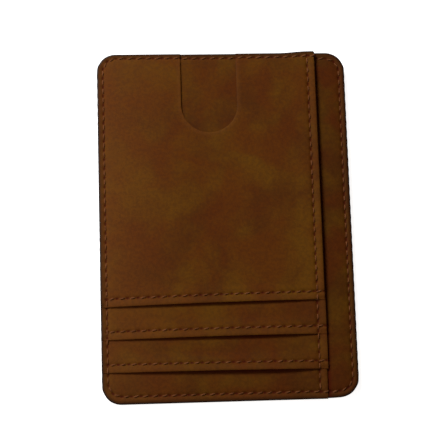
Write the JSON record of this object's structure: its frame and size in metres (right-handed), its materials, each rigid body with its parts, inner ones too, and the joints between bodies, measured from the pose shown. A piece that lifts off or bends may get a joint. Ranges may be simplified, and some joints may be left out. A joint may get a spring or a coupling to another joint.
{
  "type": "card wallet",
  "caption": "Slim leather wallet: stepped card pockets with a thumb notch, an open side pocket, a centre pocket and a clear window at the back, edge-sewn in contrast thread.",
  "frame": {"origin": "middle of the wallet's outline, on the surface that its back face rests on", "axes": "+Z out of the front face, +Y towards the closed end of the card pockets (the thumb notch), +X towards the side pocket's mouth"},
  "size_m": [0.08, 0.1116, 0.0063],
  "materials": {
    "brown_leather": "matte waxed leather with soft mottling and painted edges",
    "inner_leather": "skived leather welt",
    "lining_cloth": "thin dark woven lining",
    "shield_foil": "metallised foil",
    "clear_film": "clear flexible film",
    "glue_tape": "double-sided glue tape",
    "tan_thread": "twisted polyester thread"
  },
  "bodies": {
    "root": {"front_cover": "brown_leather", "front_slot_panel_2": "brown_leather", "front_slot_panel_3": "brown_leather", "front_base_panel": "brown_leather", "front_carrier": "brown_leather", "back_carrier": "brown_leather", "back_base_panel": "brown_leather", "back_slot_panel": "brown_leather", "window_frame": "brown_leather", "centre_welt": "inner_leather", "front_lining": "lining_cloth", "back_lining": "lining_cloth", "front_shield_foil": "shield_foil", "back_shield_foil": "shield_foil", "window_film": "clear_film", "card_pocket_1_tape": "glue_tape", "card_pocket_2_tape": "glue_tape", "card_pocket_3_tape": "glue_tape", "front_side_pocket_tape": "glue_tape", "back_side_pocket_tape": "glue_tape", "back_card_pocket_tape": "glue_tape", "window_pocket_tape": "glue_tape", "edge_seam_front": "tan_thread", "edge_seam_back": "tan_thread", "mouth_seam_front": "tan_thread", "mouth_seam_back": "tan_thread", "stack_seam_front": "tan_thread", "stack_seam_back": "tan_thread", "slot_seam_1": "tan_thread", "slot_seam_2": "tan_thread", "slot_seam_3": "tan_thread", "back_slot_seam_1": "tan_thread", "back_slot_seam_2": "tan_thread", "window_seam": "tan_thread"}
  },
  "joints": []
}
